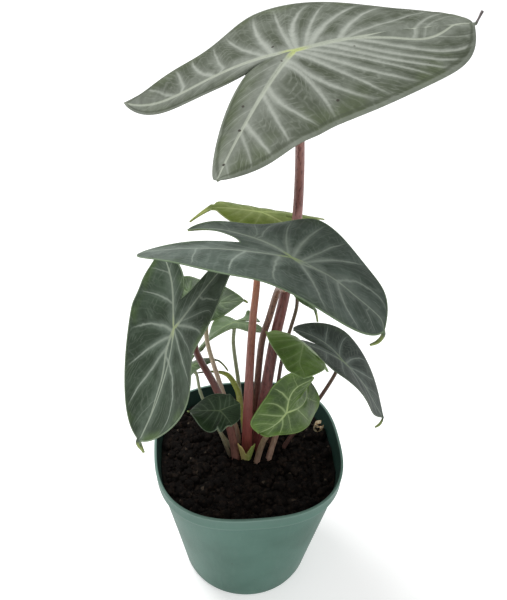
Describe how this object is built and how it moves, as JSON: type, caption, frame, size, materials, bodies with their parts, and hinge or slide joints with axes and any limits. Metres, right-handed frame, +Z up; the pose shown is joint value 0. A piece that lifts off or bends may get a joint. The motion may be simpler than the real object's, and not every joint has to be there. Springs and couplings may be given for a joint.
{
  "type": "potted alocasia",
  "caption": "Potted alocasia: shield-shaped grey-green and light green leaves on slim stalks, growing in a thin teal plastic nursery pot filled with dark peat.",
  "frame": {"origin": "middle of the pot's foot, on the surface that it stands on", "axes": "+Z up along the pot's axis and the plant; -Y towards the side that the picture shows; +X to its right"},
  "size_m": [0.1607, 0.1242, 0.3242],
  "materials": {
    "pot_plastic": "matt",
    "peat": "crumbly",
    "blade_grey_green": "satin",
    "blade_dark_green": "satin",
    "blade_light_green": "satin",
    "stalk_maroon": "satin",
    "stalk_rose": "satin",
    "stalk_mottled": "satin",
    "stalk_pale": "satin",
    "stalk_brown": "satin",
    "new_leaf": "satin",
    "sheath": "satin",
    "dried": "dry"
  },
  "bodies": {
    "root": {"pot": "pot_plastic", "soil": "peat", "leaf_01_blade": "blade_grey_green", "leaf_02_blade": "blade_dark_green", "leaf_03_blade": "blade_light_green", "leaf_04_blade": "blade_grey_green", "leaf_05_blade": "blade_dark_green", "leaf_06_blade": "blade_light_green", "leaf_07_blade": "blade_light_green", "leaf_08_blade": "blade_dark_green", "leaf_09_blade": "blade_light_green", "leaf_10_blade": "blade_light_green", "leaf_11_blade": "blade_light_green", "leaf_12_blade": "blade_light_green", "leaf_01_petiole": "stalk_maroon", "leaf_02_petiole": "stalk_mottled", "leaf_03_petiole": "stalk_rose", "leaf_04_petiole": "stalk_maroon", "leaf_05_petiole": "stalk_brown", "leaf_06_petiole": "stalk_pale", "leaf_07_petiole": "stalk_pale", "leaf_08_petiole": "stalk_pale", "leaf_09_petiole": "stalk_pale", "leaf_10_petiole": "stalk_pale", "leaf_11_petiole": "stalk_pale", "leaf_12_petiole": "stalk_brown", "new_leaf_spear": "new_leaf", "old_sheath": "sheath", "withered_leaf": "dried"}
  },
  "joints": []
}
